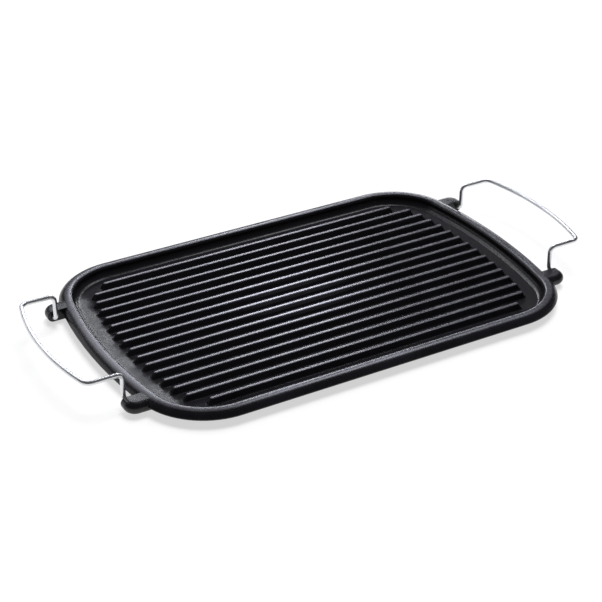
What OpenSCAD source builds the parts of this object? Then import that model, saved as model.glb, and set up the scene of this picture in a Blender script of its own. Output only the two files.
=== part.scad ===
// Cast iron grill pan for a hibachi: a shallow rectangular casting with long ribs,
// a fat channel round them, a rolled rim, and a bent wire handle in two ears at each end.
// X runs along the ribs, Z is up, and the pan stands on Z = 0.

/* [Pan] */
// Length of the pan over its lip, at the middle of the bowed ends
body_l = 410; // [300:5:520]
// Width of the pan over its lip
body_w = 272; // [220:2:340]
// Height from the underside to the crown of the rim
body_h = 14; // [12.5:0.5:22]
// Radius of the rounded corners, on the crown line
corner_r = 54; // [44:1:64]
// Radius of the shallow bow of the short ends, on the crown line
end_bow_r = 473; // [350:1:900]

/* [Rim] */
// How far the lip reaches outside the crown line
lip_out = 8; // [5:0.5:11]
// How far the lip's outermost edge lies below the crown
lip_drop = 5.4; // [4:0.2:6.4]
// Radius that rounds the edge of the lip
lip_edge_r = 1.2; // [0.6:0.1:1.6]
// Width of the flat strip on the crown
crown_flat = 1.4; // [0.6:0.2:3]
// Radius that rounds the crown into the inner wall
crown_in_r = 3; // [1.5:0.5:4]
// Radius of the cove between the inner wall and the channel floor
cove_r = 6; // [4:0.5:7]
// How far the edge of the underside is set in from the crown line
base_inset = 4.5; // [2:0.5:7]

/* [Floor and ribs] */
// Thickness of the floor between the ribs
floor_t = 4; // [3:0.5:6]
// Number of ribs
rib_count = 16; // [10:1:18]
// Distance from one rib to the next
rib_pitch = 13.9; // [10:0.1:14]
// Height of the ribs above the floor
rib_h = 5.6; // [4:0.1:8]
// Width of a rib at the floor
rib_root_w = 7; // [6:0.2:8]
// Width of a rib across its top
rib_top_w = 4; // [3:0.2:5]
// Radius that rounds the edges of a rib's top
rib_edge_r = 1.2; // [0.6:0.1:1.4]
// Radius of the fillet between a rib and the floor
rib_fillet_r = 1.6; // [0.6:0.2:2]
// Channel left free between the crown line and the foot of the ribs' ends
channel_w = 20; // [17:0.5:24]
// How far the ribs' ends lean back from foot to top
rib_end_lean = 3.4; // [1:0.2:5]

/* [Handle wire] */
// Diameter of the round wire
wire_d = 4; // [3:0.2:5]
// Distance between the middles of a handle's two legs
leg_span = 139; // [120:1:145]
// Height of the arms above the pivot line
leg_h = 23; // [18:0.5:32]
// Length of the arms, from the legs to the corners of the grip
arm_l = 30; // [24:0.5:45]
// How far the middle of the grip is bowed out beyond its corners
grip_bow = 10; // [4:0.5:16]
// Radius of the two bends in each leg, at the middle of the wire
leg_bend_r = 5; // [4.5:0.5:7]
// Radius of the corners of the grip, at the middle of the wire
grip_corner_r = 7; // [5:0.5:12]
// Length of wire that stands in each ear's bore
pin_l = 9; // [6:0.5:10.5]

/* [Ears] */
// Distance of the pivot line outside the lip
pivot_out = 2.5; // [1:0.5:8]
// Depth of the pivot line below the crown
pivot_drop = 5.9; // [5.8:0.1:7]
// Radius of the ear's nose round the pivot line
ear_nose_r = 5.2; // [4.8:0.1:5.8]
// Length of an ear along the pivot line
ear_w = 16; // [15:1:24]
// Radius of the ear's outer corner, seen from above
ear_corner_r = 10; // [4:0.5:12]
// Room between a leg's bend and its ear
ear_gap = 0.4; // [0.3:0.1:1]
// Running clearance all round the wire in its bore
bore_clearance = 0.05; // [0.02:0.01:0.1]
// Depth of the bore beyond the end of the wire
bore_end_room = 1.5; // [1:0.5:3]

/* [Hidden] */
$fn = 96;
eps = 0.01;

// Crown line: the top of the rim, seen from above. Its ends are arcs of end_bow_r that
// meet corners of corner_r, which meet straight sides.
crown_x0 = body_l / 2 - lip_out;
crown_y0 = body_w / 2 - lip_out;
bow_cx = crown_x0 - end_bow_r;
corner_cy = crown_y0 - corner_r;
corner_cx = bow_cx + sqrt(pow(end_bow_r - corner_r, 2) - pow(corner_cy, 2));
bow_a = asin(corner_cy / (end_bow_r - corner_r));

// X of the line that lies out mm outside the crown line, at a given Y
function outline_x(y, out) =
    abs(y) <= (end_bow_r + out) * sin(bow_a)
    ? bow_cx + sqrt(pow(end_bow_r + out, 2) - y * y)
    : corner_cx + sqrt(max(0, pow(corner_r + out, 2) - pow(abs(y) - corner_cy, 2)));

// Points on an arc, from angle a0 to angle a1
function arc(cx, cy, r, a0, a1, n) =
    [for (i = [0:n]) let (a = a0 + (a1 - a0) * i / n) [cx + r * cos(a), cy + r * sin(a)]];

// A solid skinned over a row of rings with equally many points. Each ring turns
// anticlockwise as seen from the ring after it.
module loft(rings) {
    n = len(rings[0]);
    last = len(rings) - 1;
    polyhedron(
        points = [for (ring = rings) each ring],
        faces = concat(
            [[for (j = [0:n - 1]) j]],
            [for (i = [0:last - 1], j = [0:n - 1]) let (k = (j + 1) % n)
                [i * n + j, (i + 1) * n + j, (i + 1) * n + k]],
            [for (i = [0:last - 1], j = [0:n - 1]) let (k = (j + 1) % n)
                [i * n + j, (i + 1) * n + k, i * n + k]],
            [[for (j = [n - 1:-1:0]) last * n + j]]
        ),
        convexity = 4
    );
}

// Section through the rim, with X as the distance outside the crown line: out from the
// edge of the underside, round the lip, over the crown and down the cove to the floor
crown_out_r = (pow(lip_out, 2) + pow(lip_drop, 2)) / (2 * lip_drop);
lip_z = body_h - lip_drop;
lip_a = atan2(lip_z - body_h + crown_out_r, lip_out);
under_a = atan2(lip_z, lip_out + base_inset);
wall_x = -crown_flat - crown_in_r;
lip_blend_a = 8;
cove_fit_r = min(cove_r, body_h - crown_in_r - floor_t);
rim_section = concat(
    [[-base_inset, 0]],
    arc(lip_out - lip_edge_r, lip_z, lip_edge_r, under_a - 90, lip_a, 4),
    arc(0, body_h - crown_out_r, crown_out_r, lip_a + lip_blend_a, 90, 6),
    arc(-crown_flat, body_h - crown_in_r, crown_in_r, 90, 180, 4),
    arc(wall_x - cove_fit_r, floor_t + cove_fit_r, cove_fit_r, 0, -90, 5)
);

// The outline that lies out mm outside the crown line, as a ring at height z
function quarter_outline(out) = concat(
    arc(bow_cx, 0, end_bow_r + out, 0, bow_a * 4 / 5, 4),
    arc(corner_cx, corner_cy, corner_r + out, bow_a, 90, 10)
);
function ring_outline(out, z) =
    let (quarter = quarter_outline(out), last = len(quarter) - 1)
    concat(
        [for (i = [0:last]) [quarter[i][0], quarter[i][1], z]],
        [for (i = [last:-1:0]) [-quarter[i][0], quarter[i][1], z]],
        [for (i = [1:last]) [-quarter[i][0], -quarter[i][1], z]],
        [for (i = [last:-1:1]) [quarter[i][0], -quarter[i][1], z]]
    );
module rim_and_floor() {
    loft([for (p = rim_section) ring_outline(p[0], p[1])]);
}

// Ribs: a drafted bar with rounded top edges and a filleted foot, and ends that lean back
// from the channel
rib_top = floor_t + rib_h;
rib_sink = 0.5;
rib_flat = rib_top_w / 2 - rib_edge_r;
rib_edge_a = 15;
rib_side_a = atan2(
    rib_root_w / 2 - rib_flat - rib_edge_r * cos(rib_edge_a),
    rib_h - rib_edge_r + rib_edge_r * sin(rib_edge_a)
);
rib_foot = rib_root_w / 2 + rib_fillet_r * tan(45 - rib_side_a / 2);
rib_half = concat(
    [[rib_foot, floor_t - rib_sink]],
    arc(rib_foot, floor_t + rib_fillet_r, rib_fillet_r, 270, 180 + rib_side_a, 3),
    arc(rib_flat, rib_top - rib_edge_r, rib_edge_r, rib_edge_a, 90, 3)
);
rib_section = concat(
    rib_half,
    [for (i = [len(rib_half) - 1:-1:0]) [-rib_half[i][0], rib_half[i][1]]]
);
module rib(y) {
    foot_x = outline_x(y, -channel_w);
    top_x = foot_x - rib_end_lean;
    intersection() {
        translate([-foot_x, y, 0])
            rotate([90, 0, 90])
                linear_extrude(2 * foot_x)
                    polygon(rib_section);
        translate([0, y + 2 * rib_root_w, 0])
            rotate([90, 0, 0])
                linear_extrude(4 * rib_root_w)
                    polygon([
                        [-foot_x + eps, 0], [foot_x - eps, 0], [foot_x - eps, floor_t],
                        [top_x, rib_top + eps], [-top_x, rib_top + eps], [-foot_x + eps, floor_t]
                    ]);
    }
}

// Ears: cast lugs at the four ends of the two pivot lines, each with a blind bore
pivot_x = body_l / 2 + pivot_out;
pivot_z = body_h - pivot_drop;
leg_y = leg_span / 2;
pin_start_y = leg_y + leg_bend_r;
ear_y0 = pin_start_y + ear_gap;
ear_y1 = ear_y0 + ear_w;
ear_tip = pivot_x + ear_nose_r;
ear_top_sink = 0.06;
ear_top = min(pivot_z + ear_nose_r, body_h - ear_top_sink);
ear_foot_z = 0.8;
ear_inner_corner_r = 2;
ear_root_in = 0.6;
ear_root_low_z = floor_t - 0.4;
bore_r = wire_d / 2 + bore_clearance;
bore_depth = pin_l - ear_gap + bore_end_room;
ear_side = concat(
    [[0, ear_foot_z]],
    arc(pivot_x, pivot_z, ear_nose_r, -88, 88, 14),
    [[0, ear_top]]
);
function ear_plan(root_in) = concat(
    [[outline_x(ear_y0, -root_in), ear_y0]],
    arc(ear_tip - ear_inner_corner_r, ear_y0 + ear_inner_corner_r, ear_inner_corner_r, -90, 0, 4),
    arc(ear_tip - ear_corner_r, ear_y1 - ear_corner_r, ear_corner_r, 0, 90, 8),
    [[outline_x(ear_y1, -root_in), ear_y1]]
);
module ear() {
    difference() {
        intersection() {
            union() {
                linear_extrude(body_h)
                    polygon(ear_plan(ear_root_in));
                linear_extrude(ear_root_low_z)
                    polygon(ear_plan(base_inset + ear_root_in));
            }
            translate([0, ear_y1 + 1, 0])
                rotate([90, 0, 0])
                    linear_extrude(ear_w + 2)
                        polygon(ear_side);
        }
        translate([pivot_x, ear_y0 - 1, pivot_z])
            rotate([-90, 0, 0])
                cylinder(h = bore_depth + 1, r = bore_r);
    }
}

module grill_pan() {
    color([0.09, 0.09, 0.10]) {
        rim_and_floor();
        for (i = [0:rib_count - 1])
            rib((i - (rib_count - 1) / 2) * rib_pitch);
        for (flip_x = [0, 1], flip_y = [0, 1])
            mirror([flip_x, 0, 0])
                mirror([0, flip_y, 0])
                    ear();
    }
}

// Handle: the wire runs from a pin round a bend, up a leg, out along an arm, round a corner
// and along the bowed grip, then back the same way to the other pin
grip_z = pivot_z + leg_h;
grip_corner_x = pivot_x + arm_l;
grip_r = (pow(leg_y, 2) + pow(grip_bow, 2)) / (2 * grip_bow);
grip_cx = grip_corner_x + grip_bow - grip_r;
round_cy = leg_y - grip_corner_r;
round_cx = grip_cx + sqrt(pow(grip_r - grip_corner_r, 2) - pow(round_cy, 2));
grip_a = asin(round_cy / (grip_r - grip_corner_r));
wire_sides = 16;
bend_steps = 5;

// A ring of the wire's outline round point c, in the plane of the directions u and v. Its
// corners stay just inside the round pins, so that the bent wire meets them cleanly.
wire_ring_r = wire_d / 2 - eps;
function wire_ring(c, u, v) =
    [for (k = [0:wire_sides - 1]) let (a = 360 * k / wire_sides)
        c + wire_ring_r * (cos(a) * u + sin(a) * v)];

// Rings from the rear pin to the middle of the grip
half_handle = concat(
    [for (i = [0:bend_steps]) let (a = 90 * i / bend_steps, v = [0, sin(a), cos(a)])
        wire_ring([pivot_x, pin_start_y, pivot_z + leg_bend_r] - leg_bend_r * v, [1, 0, 0], v)],
    [for (i = [0:bend_steps]) let (a = 90 * i / bend_steps, u = [cos(a), 0, -sin(a)])
        wire_ring([pivot_x + leg_bend_r, leg_y, grip_z - leg_bend_r] - leg_bend_r * u, u, [0, 1, 0])],
    [for (i = [0:bend_steps])
        let (a = 90 - (90 - grip_a) * i / bend_steps, v = [cos(a), sin(a), 0])
        wire_ring([round_cx, round_cy, grip_z] + grip_corner_r * v, [0, 0, -1], v)],
    [for (i = [1:6]) let (a = grip_a * (1 - i / 6), v = [cos(a), sin(a), 0])
        wire_ring([grip_cx, 0, grip_z] + grip_r * v, [0, 0, -1], v)]
);
function mirror_y(ring) = [for (p = ring) [p[0], -p[1], p[2]]];
module pin() {
    translate([pivot_x, pin_start_y, pivot_z])
        rotate([-90, 0, 0])
            cylinder(h = pin_l, d = wire_d);
}
module handle() {
    color([0.80, 0.81, 0.83]) {
        loft(concat(half_handle, [for (i = [len(half_handle) - 2:-1:0]) mirror_y(half_handle[i])]));
        pin();
        mirror([0, 1, 0])
            pin();
    }
}
module right_handle() {
    handle();
}
module left_handle() {
    mirror([1, 0, 0])
        handle();
}

grill_pan();
left_handle();
right_handle();
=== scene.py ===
"""Hibachi grill pan: one iron casting with long ribs, and two sprung wire handles.

The pan and the wires are modelled in metres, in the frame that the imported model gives: X runs
along the ribs, Z is up, and the pan stands on Z = 0.
"""

import math

import bmesh
import bpy
from bpy.props import FloatProperty, FloatVectorProperty, IntProperty, PointerProperty
from mathutils import Matrix, Vector


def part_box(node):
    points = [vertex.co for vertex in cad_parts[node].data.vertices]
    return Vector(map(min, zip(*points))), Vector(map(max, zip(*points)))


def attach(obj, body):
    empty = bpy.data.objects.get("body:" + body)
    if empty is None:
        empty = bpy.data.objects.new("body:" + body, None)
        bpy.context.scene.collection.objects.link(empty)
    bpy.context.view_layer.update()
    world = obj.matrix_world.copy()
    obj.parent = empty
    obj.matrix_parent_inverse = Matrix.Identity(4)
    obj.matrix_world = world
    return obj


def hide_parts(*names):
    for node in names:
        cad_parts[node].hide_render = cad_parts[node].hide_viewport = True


bl_info = {
    "name": "Hibachi Grill Pan",
    "version": (1, 0, 0),
    "blender": (4, 5, 0),
    "location": "3D View > Sidebar > Grill Pan",
    "description": "Cast iron grill pan with a wire handle at each end, on a pale studio floor",
    "category": "Add Mesh",
}

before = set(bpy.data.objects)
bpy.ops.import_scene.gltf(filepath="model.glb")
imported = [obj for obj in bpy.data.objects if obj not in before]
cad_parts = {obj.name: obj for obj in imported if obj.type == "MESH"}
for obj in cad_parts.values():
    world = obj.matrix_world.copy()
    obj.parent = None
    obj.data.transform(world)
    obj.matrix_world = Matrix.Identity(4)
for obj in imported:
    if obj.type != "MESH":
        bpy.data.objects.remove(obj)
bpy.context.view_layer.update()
MM = 0.001
NEAR = 1e-6
MERGE = 1e-7
KEEP_APART = -1
FACE_AREA_WEIGHT = 60
PAN_SMOOTH, WIRE_SMOOTH = 38, 40
LEAST_FACES = 5000
WHITE = (1, 1, 1, 1)
PAN_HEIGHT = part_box("grill_pan")[1][2]
PAN_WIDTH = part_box("grill_pan")[1][1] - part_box("grill_pan")[0][1]

# Name, direction from the pan, distance, width, depth and watts of each softbox
SOFTBOXES = (
    ("rear_softbox", (0.48, 1.15, 0.77), 1.465, 0.46, 0.22, 2.2),
    ("rear_spot", (0.60, 1.13, 0.75), 1.5, 0.26, 0.16, 1.1),
    ("high_spot", (0.43, 0.30, 0.86), 1.4, 0.30, 0.36, 2.0),
    ("right_softbox", (0.63, 0.75, 0.20), 1.6, 0.5, 0.24, 2.5),
    ("rear_left_softbox", (-0.12, 0.75, 0.62), 1.5, 1.1, 0.34, 3.6),
    ("rear_left_strip", (-0.60, 0.76, 0.17), 1.6, 1.3, 0.40, 1.6),
    ("high_softbox", (0.43, 0.42, 0.80), 1.5, 0.6, 0.55, 2.2),
)
SOFTBOX_TONE = (0.93, 0.95, 1.0)
DIM_LIGHT = 0.08


# Settings


def size(label, about, default, low=0.0, high=1.0):
    """A length that shows in the panel in the scene's units."""
    return FloatProperty(
        name=label, description=about, default=default, min=low, max=high, unit="LENGTH",
        precision=5,
    )


def colour(label, about, default):
    """A linear colour that shows as a swatch in the panel."""
    return FloatVectorProperty(
        name=label, description=about, default=default, size=3, min=0.0, max=1.0, subtype="COLOR"
    )


class PanSizes(bpy.types.PropertyGroup):
    """Sizes of the casting."""

    body_l: size("Length", "Length of the pan over its lip", 0.410)
    body_w: size("Width", "Width of the pan over its lip", PAN_WIDTH)
    body_h: size("Height", "Underside to the crown of the rim", PAN_HEIGHT)
    corner_r: size("Corner Radius", "Radius of the corners on the crown line", 0.054)
    end_bow_r: size("End Bow Radius", "Radius of the bowed short ends on the crown line", 0.473)
    lip_out: size("Lip Reach", "How far the lip stands outside the crown line", 0.008)
    lip_drop: size("Lip Drop", "How far the lip's edge lies below the crown", 0.0054)
    lip_edge_r: size("Lip Edge Radius", "Radius that rounds the edge of the lip", 0.0012)
    crown_flat: size("Crown Flat", "Width of the flat strip on the crown", 0.0014)
    crown_in_r: size("Crown Radius", "Radius from the crown into the inner wall", 0.003)
    cove_r: size("Cove Radius", "Radius between the inner wall and the channel", 0.006)
    base_inset: size("Base Inset", "How far the underside is set in from the crown line", 0.0045)
    base_edge_r: size("Base Edge Radius", "Radius that rounds the edge of the underside", 0.0016)
    floor_t: size("Floor Thickness", "Thickness of the floor between the ribs", 0.004)
    rib_count: IntProperty(name="Ribs", description="Number of ribs", default=16, min=2, max=24)
    rib_pitch: size("Rib Pitch", "Distance from one rib to the next", 0.0139)
    rib_h: size("Rib Height", "Height of the ribs above the floor", 0.0056)
    rib_root_w: size("Rib Root Width", "Width of a rib at the floor", 0.007)
    rib_top_w: size("Rib Top Width", "Width of a rib across its top", 0.004)
    rib_edge_r: size("Rib Edge Radius", "Radius of the edges of a rib's top", 0.0012)
    rib_fillet_r: size("Rib Fillet", "Radius between a rib and the floor", 0.0016)
    rib_end_lean: size("Rib End Lean", "How far a rib's ends lean back to its top", 0.0034)
    channel_w: size("Channel Width", "Crown line to the foot of the ribs' ends", 0.020)
    ear_w: size("Ear Width", "Length of an ear along the pivot line", 0.016)
    ear_nose_r: size("Ear Nose Radius", "Radius of the nose round the pivot line", 0.0052)
    ear_corner_r: size("Ear Corner Radius", "Radius of the ear's outer corner", 0.010)


class HandleSizes(bpy.types.PropertyGroup):
    """Sizes of the two wire handles and their pivots."""

    wire_d: size("Wire Diameter", "Diameter of the round wire", 0.004)
    leg_span: size("Leg Span", "Distance between the middles of the legs", 0.139)
    leg_h: size("Leg Height", "Height of the arms above the pivot line", 0.023)
    arm_l: size("Arm Length", "Legs to the corners of the grip", 0.030)
    grip_bow: size("Grip Bow", "How far the grip is bowed beyond its corners", 0.010)
    leg_bend_r: size("Leg Bend Radius", "Radius of the bends in each leg", 0.005)
    grip_corner_r: size("Grip Corner Radius", "Radius of the corners of the grip", 0.007)
    pin_l: size("Pin Length", "Wire that stands in each ear's bore", 0.009)
    pivot_out: size("Pivot Reach", "Distance of the pivot line outside the lip", 0.0025)
    pivot_drop: size("Pivot Drop", "Depth of the pivot line below the crown", 0.0059)
    ear_gap: size("Ear Gap", "Room between a leg's bend and its ear", 0.0004)
    bore_clearance: size("Bore Clearance", "Room round the wire in its bore", 0.00005)


class PanFinish(bpy.types.PropertyGroup):
    """Colours of the finishes."""

    iron: colour("Seasoned Iron", "Iron under its black seasoning", (0.0045, 0.0043, 0.0062))
    # Burnished colour: rubbed wear on the rib tops and rim, and the painted sheen on the middle
    # ribs.
    burnished_and_sheen: colour("Burnished Iron", "Rib tops and rim, rubbed bright", (0.15, 0.15, 0.175))
    wire: colour("Wire", "Bright drawn steel", (0.80, 0.81, 0.83))
    floor: colour("Floor", "Studio floor", (0.90, 0.90, 0.90))


# Outlines


def arc(cx, cy, r, a0, a1, steps):
    """Points on an arc, from a0 to a1 in degrees."""
    angles = [math.radians(a0 + (a1 - a0) * i / steps) for i in range(steps + 1)]
    return [(cx + r * math.cos(a), cy + r * math.sin(a)) for a in angles]


class Outline:
    """The crown line seen from above: straight sides, round corners and bowed ends."""

    def __init__(self, s):
        """Works out the centres of the corners and of the right end's bow."""
        self.x0 = s.body_l / 2 - s.lip_out
        self.y0 = s.body_w / 2 - s.lip_out
        self.corner_r = s.corner_r
        self.bow_r = s.end_bow_r
        self.bow_x = self.x0 - s.end_bow_r
        self.corner_y = self.y0 - s.corner_r
        reach = s.end_bow_r - s.corner_r
        self.corner_x = self.bow_x + math.sqrt(reach**2 - self.corner_y**2)
        self.bow_angle = math.asin(self.corner_y / reach)

    def x_at(self, y, out):
        """X of the line that lies out metres outside the crown line."""
        y = abs(y)
        if y <= (self.bow_r + out) * math.sin(self.bow_angle):
            return self.bow_x + math.sqrt((self.bow_r + out) ** 2 - y * y)
        rise = (self.corner_r + out) ** 2 - (y - self.corner_y) ** 2
        return self.corner_x + math.sqrt(max(0.0, rise))


def rim_section(s):
    """The rim cut across, as (distance outside the crown line, height), base edge to floor."""
    lip_z = s.body_h - s.lip_drop
    crown_r = (s.lip_out**2 + s.lip_drop**2) / (2 * s.lip_drop)
    lip_a = math.degrees(math.atan2(lip_z - s.body_h + crown_r, s.lip_out))
    under_a = math.degrees(math.atan2(lip_z, s.lip_out + s.base_inset))
    crown_a = lip_a + 8
    edge_in = s.base_edge_r * math.tan(math.radians(under_a / 2))
    wall = -s.crown_flat - s.crown_in_r
    return (
        arc(-s.base_inset - edge_in, s.base_edge_r, s.base_edge_r, -90, under_a - 90, 3)
        + arc(s.lip_out - s.lip_edge_r, lip_z, s.lip_edge_r, under_a - 90, lip_a, 6)
        + arc(0, s.body_h - crown_r, crown_r, crown_a, 90, 9)
        + arc(-s.crown_flat, s.body_h - s.crown_in_r, s.crown_in_r, 90, 180, 7)
        + arc(wall - s.cove_r, s.floor_t + s.cove_r, s.cove_r, 0, -90, 8)
    )


# Mesh tools


def edges_of(geom):
    """The edges among what a bmesh operator gives back."""
    return [g for g in geom if isinstance(g, bmesh.types.BMEdge)]


def verts_of(geom):
    """The vertices among what a bmesh operator gives back."""
    return [g for g in geom if isinstance(g, bmesh.types.BMVert)]


def pull(bm, edges, move):
    """Extrudes a row of edges straight by move, and returns the new row."""
    geom = bmesh.ops.extrude_edge_only(bm, edges=edges)["geom"]
    bmesh.ops.translate(bm, verts=verts_of(geom), vec=move)
    return edges_of(geom)


def turn(bm, edges, centre, axis, angle, steps):
    """Spins a row of edges about an axis, and returns the last row."""
    spun = bmesh.ops.spin(
        bm, geom=corners_of(edges) + edges, cent=centre, axis=axis, dvec=(0, 0, 0), angle=angle,
        steps=steps, use_merge=False, use_normal_flip=False, use_duplicate=False,
    )
    return edges_of(spun["geom_last"])


def round_edges(bm, edges, offset, segments):
    """Bevels edges with a round profile."""
    bmesh.ops.bevel(
        bm, geom=edges, offset=offset, offset_type="OFFSET", affect="EDGES", segments=segments,
        profile=0.5, material=-1, clamp_overlap=False,
    )


def fixed_order(bm):
    """Sorts edges and faces by their corners, because extruding leaves them in chance order."""
    bm.verts.index_update()
    count = len(bm.verts)

    def rank(part):
        place = 0
        for index in sorted(v.index for v in part.verts)[:3]:
            place = place * count + index
        return place

    bm.edges.sort(key=rank)
    bm.faces.sort(key=rank)


def close_up(bm):
    """Merges doubles, fills the open loops, and turns every face outwards, in a fixed order."""
    bmesh.ops.remove_doubles(bm, verts=bm.verts, dist=MERGE)
    bmesh.ops.holes_fill(bm, edges=[e for e in bm.edges if e.is_boundary], sides=0)
    fixed_order(bm)
    bmesh.ops.recalc_face_normals(bm, faces=bm.faces)


def mirror_all(bm, axis, merge_dist):
    """Mirrors the whole mesh across an axis, and merges the halves or keeps them apart."""
    return bmesh.ops.mirror(
        bm, geom=bm.verts[:] + bm.edges[:] + bm.faces[:], axis=axis, merge_dist=merge_dist
    )["geom"]


def start_ring(bm, sides, radius):
    """A circle of vertices flat on Z = 0."""
    return bmesh.ops.create_circle(bm, cap_ends=False, segments=sides, radius=radius)["verts"]


def edges_at(verts):
    """Every edge that touches one of the vertices, once each and in a fixed order."""
    return list(dict.fromkeys(e for v in verts for e in v.link_edges))


def corners_of(edges):
    """Every vertex of the edges, once each and in a fixed order."""
    return list(dict.fromkeys(v for e in edges for v in e.verts))


def add_object(name, data):
    """Puts a new object in the scene."""
    made = bpy.data.objects.new(name, data)
    bpy.context.scene.collection.objects.link(made)
    return made


def as_object(bm, name):
    """Turns a bmesh into an object in the scene."""
    mesh = bpy.data.meshes.new(name)
    bm.to_mesh(mesh)
    bm.free()
    return add_object(name, mesh)


def combine(piece, tool, operation):
    """Joins a tool to a piece or cuts it away, for good."""
    step = piece.modifiers.new("combine", "BOOLEAN")
    step.operation, step.object, step.solver = operation, tool, "EXACT"
    shaped = bpy.data.meshes.new_from_object(
        piece.evaluated_get(bpy.context.evaluated_depsgraph_get())
    )
    piece.modifiers.clear()
    old, piece.data = piece.data, shaped
    shaped.name = old.name
    bpy.data.meshes.remove(old)
    bpy.data.meshes.remove(tool.data)


def soften(piece, degrees):
    """Smooth shading up to an angle, with flat faces kept flat."""
    piece.data.shade_smooth()
    piece.data.set_sharp_from_angle(angle=math.radians(degrees))
    weigh = piece.modifiers.new("even_shading", "WEIGHTED_NORMAL")
    weigh.keep_sharp = True
    weigh.weight = FACE_AREA_WEIGHT


# The casting


def tray(s, line):
    """Rim, floor and underside: the rim's section swept along half the outline and mirrored."""
    corner_steps, bow_steps, flat_inset = 18, 10, 1.5 * MM
    bm = bmesh.new()
    row = [bm.verts.new((0, line.y0 + out, z)) for out, z in rim_section(s)]
    edges = [bm.edges.new(pair) for pair in zip(row, row[1:])]
    up, corner = (0, 0, 1), math.pi / 2 - line.bow_angle
    edges = pull(bm, edges, (line.corner_x, 0, 0))
    edges = turn(bm, edges, (line.corner_x, line.corner_y, 0), up, -corner, corner_steps)
    edges = turn(bm, edges, (line.bow_x, 0, 0), up, -2 * line.bow_angle, bow_steps)
    edges = turn(bm, edges, (line.corner_x, -line.corner_y, 0), up, -corner, corner_steps)
    pull(bm, edges, (-line.corner_x, 0, 0))
    mirror_all(bm, "X", NEAR)
    close_up(bm)
    flats = [f for f in bm.faces if len(f.verts) > 2 * corner_steps]
    bmesh.ops.inset_individual(bm, faces=flats, thickness=flat_inset, use_even_offset=True)
    return as_object(bm, "pan_casting")


def rib_levels(s):
    """Rows of height, half width and inset of the ends, from the sunk foot to the rounded top."""
    sink, edge_start = 0.5 * MM, 15
    edge_r, flat = s.rib_edge_r, s.rib_top_w / 2 - s.rib_edge_r
    lean = math.atan2(
        s.rib_root_w / 2 - flat - edge_r * math.cos(math.radians(edge_start)),
        s.rib_h - edge_r + edge_r * math.sin(math.radians(edge_start)),
    )
    foot = s.rib_root_w / 2 + s.rib_fillet_r * math.tan(math.pi / 4 - lean / 2)
    fillet = arc(
        foot, s.floor_t + s.rib_fillet_r, s.rib_fillet_r, 270, 180 + math.degrees(lean), 5
    )
    top = arc(flat, s.floor_t + s.rib_h - edge_r, edge_r, edge_start, 90, 6)
    levels = [(s.floor_t - sink, foot)] + [(z, w) for w, z in fillet + top]
    return [(z, w, s.rib_root_w / 2 - math.tan(lean) * (z - s.floor_t)) for z, w in levels]


def one_half(verts, sign):
    """The vertices on the right of X = 0, or with sign -1 on the left of it."""
    return [v for v in verts if v.co.x * sign > 0]


def slot_ring(bm, y, z, end, radius, sides):
    """A ring with straight sides and round ends, whose ends are centred at X = -end and end."""
    half_step = math.pi / sides
    ring = start_ring(bm, sides, radius)
    bmesh.ops.rotate(
        bm, verts=ring, cent=(0, 0, 0), matrix=Matrix.Rotation(half_step, 3, "Z")
    )
    for sign in (1, -1):
        bmesh.ops.translate(bm, verts=one_half(ring, sign), vec=(sign * end, 0, 0))
    bmesh.ops.translate(bm, verts=ring, vec=(0, y, z))
    return edges_at(ring)


def add_rib(bm, s, line, y):
    """One rib: a slot-shaped ring that is pulled up level by level, narrowing as it goes."""
    sides = 16
    foot_x = line.x_at(y, -s.channel_w)
    edges, last_z, last_end, last_radius = None, 0.0, 0.0, 0.0
    for z, half_width, inset in rib_levels(s):
        end = foot_x - s.rib_end_lean * max(0.0, z - s.floor_t) / s.rib_h - inset
        radius = half_width / math.cos(math.pi / sides)
        if edges is None:
            edges = slot_ring(bm, y, z, end, radius, sides)
        else:
            edges = pull(bm, edges, (0, 0, z - last_z))
            grow = radius / last_radius
            for sign in (1, -1):
                half = one_half(corners_of(edges), sign)
                bmesh.ops.scale(
                    bm, verts=half, vec=(grow, grow, 1),
                    space=Matrix.Translation((-sign * last_end, -y, 0)),
                )
                bmesh.ops.translate(bm, verts=half, vec=(sign * (end - last_end), 0, 0))
        last_z, last_end, last_radius = z, end, radius


def ribs(s, line):
    """All the ribs, side by side round the middle."""
    bm = bmesh.new()
    for i in range(s.rib_count):
        add_rib(bm, s, line, (i - (s.rib_count - 1) / 2) * s.rib_pitch)
    close_up(bm)
    return as_object(bm, "ribs")


def pivot(s, h):
    """X and Z of the right handle's pivot line, and Y of the ears' inner faces."""
    return (
        s.body_l / 2 + h.pivot_out,
        s.body_h - h.pivot_drop,
        h.leg_span / 2 + h.leg_bend_r + h.ear_gap,
    )


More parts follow.
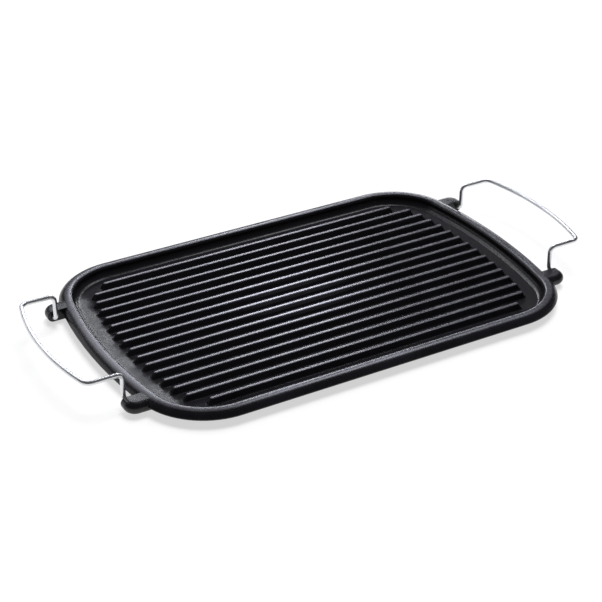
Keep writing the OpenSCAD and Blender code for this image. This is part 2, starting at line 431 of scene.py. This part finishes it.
def ears(s, h, line):
    """Four lugs: the nose's section is pulled along the pivot line, spun round the outer corner,
    and pulled back into the rim."""
    top_sink, root_in, edge_round = 0.06 * MM, 2 * MM, 0.7 * MM
    nose_steps, corner_steps = 14, 8
    px, pz, y0 = pivot(s, h)
    nose_r = s.ear_nose_r
    y1, tip = y0 + s.ear_w, px + nose_r
    low, high = pz - nose_r, min(pz + nose_r, s.body_h - top_sink)
    turn_x, turn_y = tip - s.ear_corner_r, y1 - s.ear_corner_r
    root_x = line.x_at(y1, 0)
    bm = bmesh.new()
    section = [(root_x, high), (turn_x, high)] + arc(px, pz, nose_r, 90, -90, nose_steps)
    section += [(turn_x, low), (root_x, low)]
    row = [bm.verts.new((x, y0, z)) for x, z in section]
    edges = [bm.edges.new(pair) for pair in zip(row, row[1:] + row[:1])]
    edges = pull(bm, edges, (0, turn_y - y0, 0))
    nose = [e for e in edges if min(v.co.x for v in e.verts) > turn_x - NEAR]
    nose = turn(bm, nose, (turn_x, turn_y, 0), (0, 0, 1), math.pi / 2, corner_steps)
    pull(bm, nose, (root_x - turn_x, 0, 0))
    close_up(bm)
    inner = [
        e for e in bm.edges
        if all(abs(v.co.y - y0) < NEAR for v in e.verts)
        and max(v.co.x for v in e.verts) > root_x + NEAR
    ]
    round_edges(bm, inner, edge_round, 3)
    for v in bm.verts:
        if v.co.x < root_x + NEAR:
            v.co.x = line.x_at(v.co.y, -root_in)
    for axis in "XY":
        mirror_all(bm, axis, KEEP_APART)
    close_up(bm)
    return as_object(bm, "ears")


def widen_across(bm, verts, px, pz, grow):
    """Scales vertices in X and Z about the pivot line."""
    bmesh.ops.scale(
        bm, verts=verts, vec=(grow, 1, grow), space=Matrix.Translation((-px, 0, -pz))
    )


def ring_round_pivot(bm, px, pz, y, sides, radius):
    """A ring that stands upright round the pivot line."""
    ring = start_ring(bm, sides, radius)
    bmesh.ops.rotate(
        bm, verts=ring, cent=(0, 0, 0), matrix=Matrix.Rotation(math.pi / 2, 3, "X")
    )
    bmesh.ops.translate(bm, verts=ring, vec=(px, y, pz))
    return ring


def bores(s, h):
    """Four blind bores with a small chamfer at the mouth, as one cutting tool."""
    sides, end_room, chamfer, reach_out = 32, 1.5 * MM, 0.35 * MM, 1 * MM
    px, pz, y0 = pivot(s, h)
    r = h.wire_d / 2 + h.bore_clearance
    depth = h.pin_l - h.ear_gap + end_room
    bm = bmesh.new()
    edges = edges_at(ring_round_pivot(bm, px, pz, y0 + depth, sides, r))
    edges = pull(bm, edges, (0, -(depth - chamfer), 0))
    edges = pull(bm, edges, (0, -chamfer, 0))
    widen_across(bm, corners_of(edges), px, pz, (r + chamfer) / r)
    pull(bm, edges, (0, -reach_out, 0))
    for axis in "XY":
        mirror_all(bm, axis, KEEP_APART)
    close_up(bm)
    return as_object(bm, "bores")


# The wire


def wire_handle(s, h):
    """The right handle as one bent wire, with its finish coordinates in an attribute."""
    sides, chamfer, bend_steps, grip_steps = 24, 0.4 * MM, 8, 10
    px, pz, _ = pivot(s, h)
    leg_y, top_z = h.leg_span / 2, pz + h.leg_h
    corner_x = px + h.arm_l
    grip_r = (leg_y**2 + h.grip_bow**2) / (2 * h.grip_bow)
    grip_x = corner_x + h.grip_bow - grip_r
    round_y = leg_y - h.grip_corner_r
    round_x = grip_x + math.sqrt((grip_r - h.grip_corner_r) ** 2 - round_y**2)
    grip_a = math.asin(round_y / (grip_r - h.grip_corner_r))
    bend, wire_r = h.leg_bend_r, h.wire_d / 2
    start_y = leg_y + bend

    bm = bmesh.new()
    lay = bm.verts.layers.float_vector.new("wire_run")
    ring = ring_round_pivot(bm, px, pz, start_y + h.pin_l, sides, wire_r - chamfer)
    for i, v in enumerate(ring):
        v[lay] = (math.cos(math.tau * i / sides), math.sin(math.tau * i / sides), 0.0)
    row = edges_at(ring)
    run = 0.0

    def mark(edges, length):
        nonlocal run
        run += length
        for v in corners_of(edges):
            v[lay] = (v[lay][0], v[lay][1], run)
        return edges

    def straight(edges, move):
        return mark(pull(bm, edges, move), Vector(move).length)

    def curve(edges, centre, axis, angle, radius, parts):
        for _ in range(parts):
            edges = turn(bm, edges, centre, axis, angle / parts, 1)
            mark(edges, abs(angle / parts) * radius)
        return edges

    row = straight(row, (0, -chamfer, 0))
    widen_across(bm, corners_of(row), px, pz, wire_r / (wire_r - chamfer))
    row = straight(row, (0, -(h.pin_l - chamfer), 0))
    quarter = math.pi / 2
    row = curve(row, (px, start_y, pz + bend), (1, 0, 0), -quarter, bend, bend_steps)
    row = straight(row, (0, 0, h.leg_h - 2 * bend))
    row = curve(row, (px + bend, leg_y, top_z - bend), (0, 1, 0), quarter, bend, bend_steps)
    row = straight(row, (round_x - px - bend, 0, 0))
    row = curve(
        row, (round_x, round_y, top_z), (0, 0, 1), -(quarter - grip_a), h.grip_corner_r, bend_steps
    )
    row = curve(row, (grip_x, 0, top_z), (0, 0, 1), -grip_a, grip_r, grip_steps)
    for v in corners_of(row):
        v.co.y = 0.0
    for v in verts_of(mirror_all(bm, "Y", NEAR)):
        v[lay] = (v[lay][0], v[lay][1], 2 * run - v[lay][2])
    close_up(bm)
    return as_object(bm, "wire")


# Finishes


def new_group(name, ins, outs):
    """A shader node group with its sockets, and its input and output nodes."""
    group = bpy.data.node_groups.new(name, "ShaderNodeTree")
    for label, kind, default in ins:
        sock = group.interface.new_socket(name=label, in_out="INPUT", socket_type=kind)
        if default is not None:
            sock.default_value = default
    for label, kind in outs:
        group.interface.new_socket(name=label, in_out="OUTPUT", socket_type=kind)
    return group, group.nodes.new("NodeGroupInput"), group.nodes.new("NodeGroupOutput")


def feed(tree, target, links):
    """Fills a node's inputs, by name or number, with sockets or plain values."""
    for key, value in links.items():
        if isinstance(value, bpy.types.NodeSocket):
            tree.links.new(value, target.inputs[key])
        else:
            target.inputs[key].default_value = value


def node(tree, kind, links, **values):
    """Adds a node, with its values set and its inputs filled."""
    made = tree.nodes.new(kind)
    for key, value in values.items():
        setattr(made, key, value)
    feed(tree, made, links)
    return made


def output_of(tree, kind, label):
    """One output of a node that needs no input."""
    return tree.nodes.new(kind).outputs[label]


def ramp(tree, value, low, high):
    """0 at the low limit, 1 at the high limit, and a smooth step between them."""
    return node(
        tree, "ShaderNodeMapRange", {0: value, 1: low, 2: high, 3: 0.0, 4: 1.0},
        interpolation_type="SMOOTHSTEP",
    ).outputs[0]


def maths(tree, operation, a, b):
    """One operation on two values."""
    return node(tree, "ShaderNodeMath", {0: a, 1: b}, operation=operation).outputs[0]


def times(tree, first, *others):
    """The product of all the values."""
    for value in others:
        first = maths(tree, "MULTIPLY", first, value)
    return first


def weighed(tree, start, *parts):
    """A start value plus each value times its weight."""
    for value, weight in parts:
        start = maths(tree, "ADD", start, times(tree, value, weight))
    return start


def at_least(tree, mask, least):
    """Lifts a mask so that it runs from a least value to 1."""
    return weighed(tree, least, (mask, 1.0 - least))


def noise(tree, where, scale, detail, rough):
    """Cloudy noise round a half."""
    return node(
        tree, "ShaderNodeTexNoise",
        {"Vector": where, "Scale": scale, "Detail": detail, "Roughness": rough},
    ).outputs[0]


def stretched(tree, where, scale, shift=(0.0, 0.0, 0.0)):
    """A place scaled along each axis and then shifted."""
    return node(
        tree, "ShaderNodeMapping", {"Vector": where, "Location": shift, "Scale": scale}
    ).outputs[0]


def mixed(tree, share, a, b):
    """Blends two colours."""
    return node(tree, "ShaderNodeMix", {0: share, 6: a, 7: b}, data_type="RGBA").outputs[2]


def shade(linear, share):
    """A linear colour made darker or lighter, with its alpha."""
    return (*[c * share for c in linear], 1)


def bump(tree, height, strength, distance):
    """A normal that is tilted by a height."""
    return node(
        tree, "ShaderNodeBump", {"Height": height, "Strength": strength, "Distance": distance}
    ).outputs[0]


def handling_group():
    """Smudges and rubbed patches, as a mask round a half, from two sizes of noise."""
    group, ins, outs = new_group(
        "handling_marks",
        [("Vector", "NodeSocketVector", None), ("Patch Scale", "NodeSocketFloat", 30.0),
         ("Speck Scale", "NodeSocketFloat", 600.0)],
        [("Patches", "NodeSocketFloat"), ("Specks", "NodeSocketFloat")],
    )
    where, low, high = ins.outputs["Vector"], 0.3, 0.7
    patches = noise(group, where, ins.outputs["Patch Scale"], detail=4.0, rough=0.6)
    specks = noise(group, where, ins.outputs["Speck Scale"], detail=3.0, rough=0.6)
    group.links.new(ramp(group, patches, low, high), outs.inputs["Patches"])
    group.links.new(ramp(group, specks, low, high), outs.inputs["Specks"])
    return group


def marks(tree, where, patch_scale, speck_scale):
    """Patches and specks from the handling marks that the finishes share."""
    group = bpy.data.node_groups.get("handling_marks") or handling_group()
    return node(
        tree, "ShaderNodeGroup",
        {"Vector": where, "Patch Scale": patch_scale, "Speck Scale": speck_scale},
        node_tree=group,
    ).outputs


def new_material(name):
    """A material, its node tree and its main shader."""
    made = bpy.data.materials.new(name)
    made.use_nodes = True
    tree = made.node_tree
    return made, tree, tree.nodes["Principled BSDF"]


def iron_finish(s, finish):
    """Seasoned cast iron with sand grain all over.

    The rim's crown and the ribs' tops are rubbed bright. The ribs near the middle are made
    brighter still by a painted sheen, an oval of painted highlight. The level floor is dull, but
    for an oily patch at the left end.
    """
    made, tree, skin = new_material("seasoned_cast_iron")
    spot = output_of(tree, "ShaderNodeTexCoord", "Object")
    normal = output_of(tree, "ShaderNodeNewGeometry", "Normal")
    along, _, height = node(tree, "ShaderNodeSeparateXYZ", {0: spot}).outputs
    facing = node(tree, "ShaderNodeSeparateXYZ", {0: normal}).outputs[2]
    patches, specks = marks(tree, spot, patch_scale=26.0, speck_scale=620.0)

    # Painted sheen is 1 in the middle of an oval and 0 outside it. There the ribs are made bright
    # further down, as a painted highlight.
    oval_at = stretched(tree, spot, (10.0, 16.0, 0.0), (0.1, 0.0, 0.0))
    oval = node(tree, "ShaderNodeVectorMath", {0: oval_at}, operation="LENGTH").outputs["Value"]
    painted_sheen = ramp(tree, oval, 1.15, 0.25)
    rib_top, fade, further = s.floor_t + s.rib_h, 0.9 * MM, 2.6 * MM
    on_rib = times(
        tree,
        ramp(tree, weighed(tree, height, (painted_sheen, further)), rib_top - fade, rib_top - 0.1 * MM),
        ramp(tree, height, rib_top + 0.5 * MM, rib_top + 0.2 * MM),
    )
    on_crown = ramp(tree, height, s.body_h - fade, s.body_h - 0.02 * MM)
    # Rubbed wear on the crown and the rib tops, plus the painted sheen of the oval on the middle
    # ribs.
    rubbed_and_sheen = times(
        tree, maths(tree, "ADD", on_rib, on_crown),
        ramp(tree, weighed(tree, facing, (painted_sheen, 0.4)), 0.55, 0.98),
        at_least(tree, painted_sheen, 0.7), at_least(tree, patches, 0.65), at_least(tree, specks, 0.7),
    )

    # Dry is 1 on the level floor, in the channel and between the ribs, but for the left end.
    oil_edge = weighed(tree, along, (patches, 16.0 * MM))
    dry = times(
        tree, ramp(tree, height, s.floor_t + 1.2 * MM, s.floor_t + 0.4 * MM),
        ramp(tree, facing, 0.95, 0.992), ramp(tree, oil_edge, -170.0 * MM, -152.0 * MM),
    )

    iron = mixed(tree, patches, shade(finish.iron, 0.75), shade(finish.iron, 1.35))
    grain = noise(tree, spot, scale=950.0, detail=3.0, rough=0.55)
    swell = noise(tree, spot, scale=140.0, detail=2.0, rough=0.5)
    relief = times(
        tree, weighed(tree, 0.0, (grain, 0.6), (swell, 0.8)), weighed(tree, 1.0, (rubbed_and_sheen, -0.6))
    )
    # The rubbed wear and the painted sheen lighten the base colour and make it metallic.
    feed(tree, skin, {
        "Base Color": mixed(tree, rubbed_and_sheen, iron, shade(finish.burnished_and_sheen, 1.0)),
        "Metallic": times(tree, rubbed_and_sheen, 0.8),
        "Specular IOR Level": 0.38,
        "Roughness": weighed(
            tree, 0.22, (specks, 0.08), (patches, 0.08), (rubbed_and_sheen, -0.10), (dry, 0.50)
        ),
        "Normal": bump(tree, relief, strength=0.5, distance=0.12 * MM),
    })
    return made


def wire_finish(finish):
    """Drawn steel wire: fine lines along it, faint patches, and a bright satin shine.

    In wire_run the first two numbers go round the wire and the third runs along it.
    """
    made, tree, skin = new_material("drawn_steel_wire")
    spot = output_of(tree, "ShaderNodeTexCoord", "Object")
    run = node(tree, "ShaderNodeAttribute", {}, attribute_name="wire_run").outputs["Vector"]
    lines_at = stretched(tree, run, (6.0, 6.0, 25.0))
    lines = noise(tree, lines_at, scale=1.6, detail=4.0, rough=0.65)
    patches, specks = marks(tree, spot, patch_scale=55.0, speck_scale=900.0)
    feed(tree, skin, {
        "Base Color": mixed(tree, patches, shade(finish.wire, 0.9), shade(finish.wire, 1.0)),
        "Metallic": 1.0,
        "Roughness": weighed(tree, 0.26, (lines, 0.10), (specks, 0.06)),
        "Normal": bump(tree, lines, strength=0.12, distance=0.03 * MM),
    })
    return made


def floor_finish(finish):
    """Pale floor that shows white to the camera, straight or mirrored, and takes the shadow."""
    glow_share = 0.62
    made, tree, skin = new_material("studio_floor")
    spot = output_of(tree, "ShaderNodeTexCoord", "Object")
    patches, _ = marks(tree, spot, patch_scale=3.0, speck_scale=40.0)
    feed(tree, skin, {
        "Base Color": mixed(tree, patches, shade(finish.floor, 0.98), shade(finish.floor, 1.0)),
        "Roughness": 0.9,
    })
    glow = node(tree, "ShaderNodeEmission", {"Color": WHITE, "Strength": 1.0})
    path = tree.nodes.new("ShaderNodeLightPath").outputs
    seen = maths(tree, "MAXIMUM", path["Is Camera Ray"], path["Is Transmission Ray"])
    seen = maths(tree, "MAXIMUM", seen, path["Is Glossy Ray"])
    blend = node(
        tree, "ShaderNodeMixShader",
        {0: times(tree, seen, glow_share), 1: skin.outputs[0], 2: glow.outputs[0]},
    )
    feed(tree, tree.nodes["Material Output"], {0: blend.outputs[0]})
    return made


# Stage


def aimed(direction):
    """The rotation of a lamp or camera that looks in a direction."""
    return Vector(direction).to_track_quat("-Z", "Y").to_euler()


def lay_floor(finish):
    """A wide round floor that only the picture shows."""
    sides, reach = 96, 6.0
    bm = bmesh.new()
    bmesh.ops.create_circle(bm, cap_ends=True, segments=sides, radius=reach)
    floor = as_object(bm, "studio_floor")
    floor.data.materials.append(floor_finish(finish))


def hang_diffuser():
    """Wide soft light from above, that gloss doesn't mirror."""
    sky = bpy.data.lights.new("overhead_diffuser", "SUN")
    sky.energy, sky.angle = 3.0, math.radians(34)
    overhead = add_object("overhead_diffuser", sky)
    overhead.rotation_euler = aimed((-0.2, -0.1, -1))
    overhead.location = (0.3, 0.15, 1.5)
    overhead.visible_glossy = False


def hang_softbox(name, direction, distance, width, depth, watts):
    """A rectangular lamp that faces the pan. The iron and the wires mirror it."""
    lamp = bpy.data.lights.new(name, "AREA")
    lamp.shape, lamp.size, lamp.size_y = "RECTANGLE", width, depth
    lamp.energy, lamp.color = watts, SOFTBOX_TONE
    made = add_object(name, lamp)
    back = Vector(direction).normalized()
    made.location = back * distance
    made.rotation_euler = aimed(-back)


def paint_world(scene):
    """A background that is white to the camera and sheds only a dim light."""
    world = bpy.data.worlds.new("studio")
    scene.world = world
    world.use_nodes = True
    tree = world.node_tree
    dim = tree.nodes["Background"]
    feed(tree, dim, {"Color": WHITE, "Strength": DIM_LIGHT})
    white = node(tree, "ShaderNodeBackground", {"Color": WHITE, "Strength": 1.0})
    seen = output_of(tree, "ShaderNodeLightPath", "Is Camera Ray")
    blend = node(
        tree, "ShaderNodeMixShader", {0: seen, 1: dim.outputs[0], 2: white.outputs[0]}
    )
    feed(tree, tree.nodes["World Output"], {0: blend.outputs[0]})


def set_camera(scene):
    """The photo's camera, 30 degrees above the floor and 30 degrees round to the left."""
    lens = bpy.data.cameras.new("camera")
    lens.sensor_width, lens.lens = 36.0, 98.07
    lens.shift_x, lens.shift_y = -0.01287, -0.02106
    camera = add_object("camera", lens)
    back = Vector((-0.43, -0.752, 0.5)).normalized()
    distance, aim_height = 1.428, 14 * MM
    camera.location = Vector((0, 0, aim_height)) + back * distance
    camera.rotation_euler = aimed(-back)
    scene.camera = camera
    scene.view_settings.view_transform = "Standard"


# Operators


class GRILLPAN_OT_casting(bpy.types.Operator):
    """Build the iron casting: tray, ribs, ears and bores in one piece."""

    bl_idname = "grillpan.casting"
    bl_label = "Cast the Pan"

    def execute(self, context):
        s, h = context.scene.pan_sizes, context.scene.handle_sizes
        line = Outline(s)
        piece = tray(s, line)
        combine(piece, ribs(s, line), "UNION")
        combine(piece, ears(s, h, line), "UNION")
        combine(piece, bores(s, h), "DIFFERENCE")
        if len(piece.data.polygons) < LEAST_FACES:
            raise RuntimeError("the casting lost its ribs or ears")
        soften(piece, PAN_SMOOTH)
        piece.data.materials.clear()
        piece.data.materials.append(iron_finish(s, context.scene.pan_finish))
        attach(piece, "pan")
        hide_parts("grill_pan")
        return {"FINISHED"}


class GRILLPAN_OT_handles(bpy.types.Operator):
    """Bend the two wire handles and set their ends in the ears."""

    bl_idname = "grillpan.handles"
    bl_label = "Bend the Handles"

    def execute(self, context):
        s, h = context.scene.pan_sizes, context.scene.handle_sizes
        finish = wire_finish(context.scene.pan_finish)
        for side in ("right", "left"):
            piece = wire_handle(s, h)
            piece.name = piece.data.name = side + "_wire_handle"
            if side == "left":
                bm = bmesh.new()
                bm.from_mesh(piece.data)
                bmesh.ops.scale(bm, verts=bm.verts, vec=(-1, 1, 1))
                bmesh.ops.recalc_face_normals(bm, faces=bm.faces)
                bm.to_mesh(piece.data)
                bm.free()
            soften(piece, WIRE_SMOOTH)
            piece.data.materials.append(finish)
            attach(piece, side + "_handle")
            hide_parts(side + "_handle")
        return {"FINISHED"}


class GRILLPAN_OT_stage(bpy.types.Operator):
    """Lay the pale floor, hang the softboxes and set the camera."""

    bl_idname = "grillpan.stage"
    bl_label = "Set the Stage"

    def execute(self, context):
        lay_floor(context.scene.pan_finish)
        hang_diffuser()
        for settings in SOFTBOXES:
            hang_softbox(*settings)
        paint_world(context.scene)
        set_camera(context.scene)
        return {"FINISHED"}


class GRILLPAN_PT_sidebar(bpy.types.Panel):
    """The pan's sizes, finishes and build steps."""

    bl_idname = "GRILLPAN_PT_sidebar"
    bl_label = "Grill Pan"
    bl_space_type = "VIEW_3D"
    bl_region_type = "UI"
    bl_category = "Grill Pan"

    def draw(self, context):
        """Shows every setting, and a button for each step."""
        for group in ("pan_sizes", "handle_sizes", "pan_finish"):
            settings = getattr(context.scene, group)
            box = self.layout.box()
            for name in settings.__annotations__:
                box.prop(settings, name)
        for step in ("grillpan.casting", "grillpan.handles", "grillpan.stage"):
            self.layout.operator(step)


CLASSES = (
    PanSizes,
    HandleSizes,
    PanFinish,
    GRILLPAN_OT_casting,
    GRILLPAN_OT_handles,
    GRILLPAN_OT_stage,
    GRILLPAN_PT_sidebar,
)


def register():
    """Makes the classes and the scene's settings known."""
    for cls in CLASSES:
        bpy.utils.register_class(cls)
    bpy.types.Scene.pan_sizes = PointerProperty(type=PanSizes)
    bpy.types.Scene.handle_sizes = PointerProperty(type=HandleSizes)
    bpy.types.Scene.pan_finish = PointerProperty(type=PanFinish)


def unregister():
    """Takes the settings and the classes away again."""
    del bpy.types.Scene.pan_finish
    del bpy.types.Scene.handle_sizes
    del bpy.types.Scene.pan_sizes
    for cls in reversed(CLASSES):
        bpy.utils.unregister_class(cls)


def main():
    """Builds everything."""
    register()
    bpy.ops.grillpan.casting()
    bpy.ops.grillpan.handles()
    bpy.ops.grillpan.stage()


if __name__ == "__main__":
    main()
